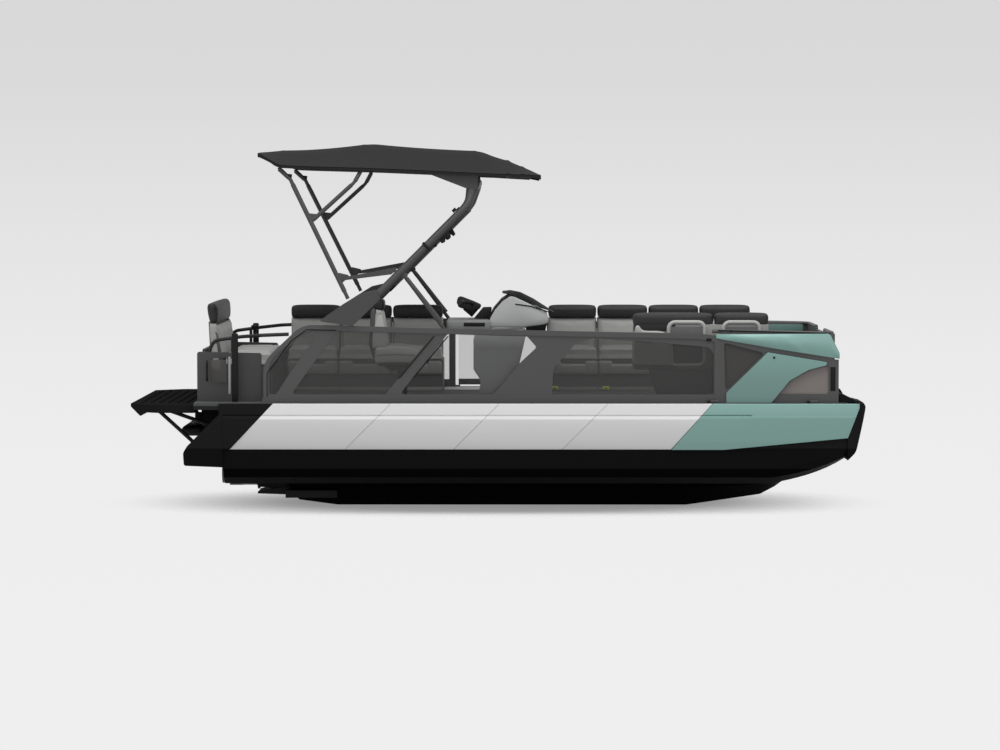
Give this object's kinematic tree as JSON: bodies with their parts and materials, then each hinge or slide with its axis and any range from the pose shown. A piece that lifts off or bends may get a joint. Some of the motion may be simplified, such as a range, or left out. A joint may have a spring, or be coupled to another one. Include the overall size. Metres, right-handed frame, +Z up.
{
  "type": "pontoon boat",
  "caption": "A jet-driven pontoon boat on three black hulls, with a tinted fence, bench seats, a helm console and a canopy tower.",
  "frame": {"origin": "on the floor under the middle of the boat's length and beam, at the flat of the centre hull", "axes": "+X to the bow, +Y to port, +Z up"},
  "size_m": [6.44, 2.57, 3.247],
  "materials": {
    "hull_black": "moulded black, satin",
    "panel_white": "white, satin gloss",
    "panel_teal": "pale teal, satin gloss",
    "engine_paint": "dark painted castings",
    "frame_black": "black, textured",
    "deck_grey": "dark grey moulded tiles",
    "strut_black": "black powder coat",
    "ladder_metal": "brushed",
    "jet_metal": "dark coated castings",
    "eye_steel": "brushed",
    "fence_grey": "dark grey, satin",
    "pane_smoke": "smoke tint",
    "pane_bow": "warm grey tint",
    "stern_black": "black, satin",
    "base_grey": "dark grey, moulded",
    "seat_vinyl": "marine vinyl, light grey with dark rolls",
    "console_grey": "light grey, satin gloss",
    "visor_dark": "dark gloss",
    "bar_black": "black grips and bar",
    "pedestal_metal": "dark powder coat",
    "tower_grey": "dark grey powder coat",
    "canopy_fabric": "dark grey marine canvas"
  },
  "bodies": {
    "boat": {"hull_centre": "hull_black", "hull_starboard": "hull_black", "hull_port": "hull_black", "engine": "engine_paint", "deck_frame": "frame_black", "deck_floor": "deck_grey", "side_panels": "panel_white", "bow_cladding": "panel_teal", "stern_quarters": "hull_black", "bow_bumpers": "hull_black", "swim_platform": "frame_black", "platform_struts": "strut_black", "jet_pump": "jet_metal", "ride_plate": "frame_black", "bow_eye": "eye_steel", "stern_eyes": "eye_steel", "fence_starboard": "fence_grey", "fence_panes_starboard": "pane_smoke", "fence_port": "fence_grey", "fence_panes_port": "pane_smoke", "bow_fence": "fence_grey", "bow_panes": "pane_bow", "bow_beaks": "panel_teal", "bow_lower_panels": "panel_teal", "stern_fence": "stern_black", "port_aft_bench_base": "base_grey", "port_aft_bench_back": "seat_vinyl", "port_fore_bench_base": "base_grey", "port_fore_bench_back": "seat_vinyl", "starboard_bench_base": "base_grey", "starboard_bench_back": "seat_vinyl", "stern_bench_base": "base_grey", "stern_bench_back": "seat_vinyl", "console_body": "console_grey", "console_dash": "console_grey", "windshield": "visor_dark", "chair_pedestal": "pedestal_metal", "canopy": "canopy_fabric", "canopy_frame": "tower_grey", "tower_bases": "tower_grey", "tower_arch": "tower_grey", "tower_struts": "tower_grey", "tower_braces": "tower_grey"},
    "ladder": {"boarding_ladder": "ladder_metal"},
    "nozzle": {"steering_nozzle": "jet_metal"},
    "bucket": {"reverse_bucket": "jet_metal"},
    "side_gate": {"port_gate": "fence_grey"},
    "front_gate": {"bow_gate": "fence_grey"},
    "rear_gate": {"stern_gate": "stern_black"},
    "port_aft_lid": {"port_aft_bench_seat": "seat_vinyl"},
    "port_fore_lid": {"port_fore_bench_seat": "seat_vinyl"},
    "starboard_lid": {"starboard_bench_seat": "seat_vinyl"},
    "stern_lid": {"stern_bench_seat": "seat_vinyl"},
    "handlebar": {"steering_bar": "bar_black"},
    "helm_chair": {"chair": "seat_vinyl"}
  },
  "joints": [
    {"name": "ladder_fold", "type": "hinge", "parent": "boat", "child": "ladder", "pos_m": [-3.03, 0.615, 0.866], "axis": [0, 1, 0], "range_deg": [0, 95]},
    {"name": "nozzle_steer", "type": "hinge", "parent": "boat", "child": "nozzle", "pos_m": [-2.41, 0, 0.27], "axis": [0, 0, 1], "range_deg": [-22, 22]},
    {"name": "bucket_drop", "type": "hinge", "parent": "boat", "child": "bucket", "pos_m": [-2.24, 0, 0.27], "axis": [0, -1, 0], "range_deg": [0, 75]},
    {"name": "handlebar_turn", "type": "hinge", "parent": "boat", "child": "handlebar", "pos_m": [-0.1, -0.755, 1.67], "axis": [-0.766, 0, 0.6428], "range_deg": [-30, 30]},
    {"name": "chair_swivel", "type": "hinge", "parent": "boat", "child": "helm_chair", "pos_m": [-0.85, -0.45, 1.227], "axis": [0, 0, 1], "continuous": true},
    {"name": "side_gate_swing", "type": "hinge", "parent": "boat", "child": "side_gate", "pos_m": [-0.37, 1.17, 1], "axis": [0, 0, -1], "range_deg": [0, 90]},
    {"name": "front_gate_swing", "type": "hinge", "parent": "boat", "child": "front_gate", "pos_m": [2.935, 0.376, 1.05], "axis": [0, 0, -1], "range_deg": [0, 90]},
    {"name": "rear_gate_swing", "type": "hinge", "parent": "boat", "child": "rear_gate", "pos_m": [-2.615, -0.536, 1.04], "axis": [0, 0, 1], "range_deg": [0, 90]},
    {"name": "port_aft_lid_lift", "type": "hinge", "parent": "boat", "child": "port_aft_lid", "pos_m": [-1.2285, 0.992, 1.393], "axis": [-1, 0, 0], "range_deg": [0, 80]},
    {"name": "port_fore_lid_lift", "type": "hinge", "parent": "boat", "child": "port_fore_lid", "pos_m": [1.421, 0.992, 1.393], "axis": [-1, 0, 0], "range_deg": [0, 80]},
    {"name": "starboard_lid_lift", "type": "hinge", "parent": "boat", "child": "starboard_lid", "pos_m": [1.8625, -0.992, 1.393], "axis": [1, 0, 0], "range_deg": [0, 80]},
    {"name": "stern_lid_lift", "type": "hinge", "parent": "boat", "child": "stern_lid", "pos_m": [-2.437, 0.255, 1.393], "axis": [0, -1, 0], "range_deg": [0, 80]}
  ],
  "couplings": [
    {"joint": "handlebar_turn", "follows": "nozzle_steer", "ratio": -1.3636}
  ]
}
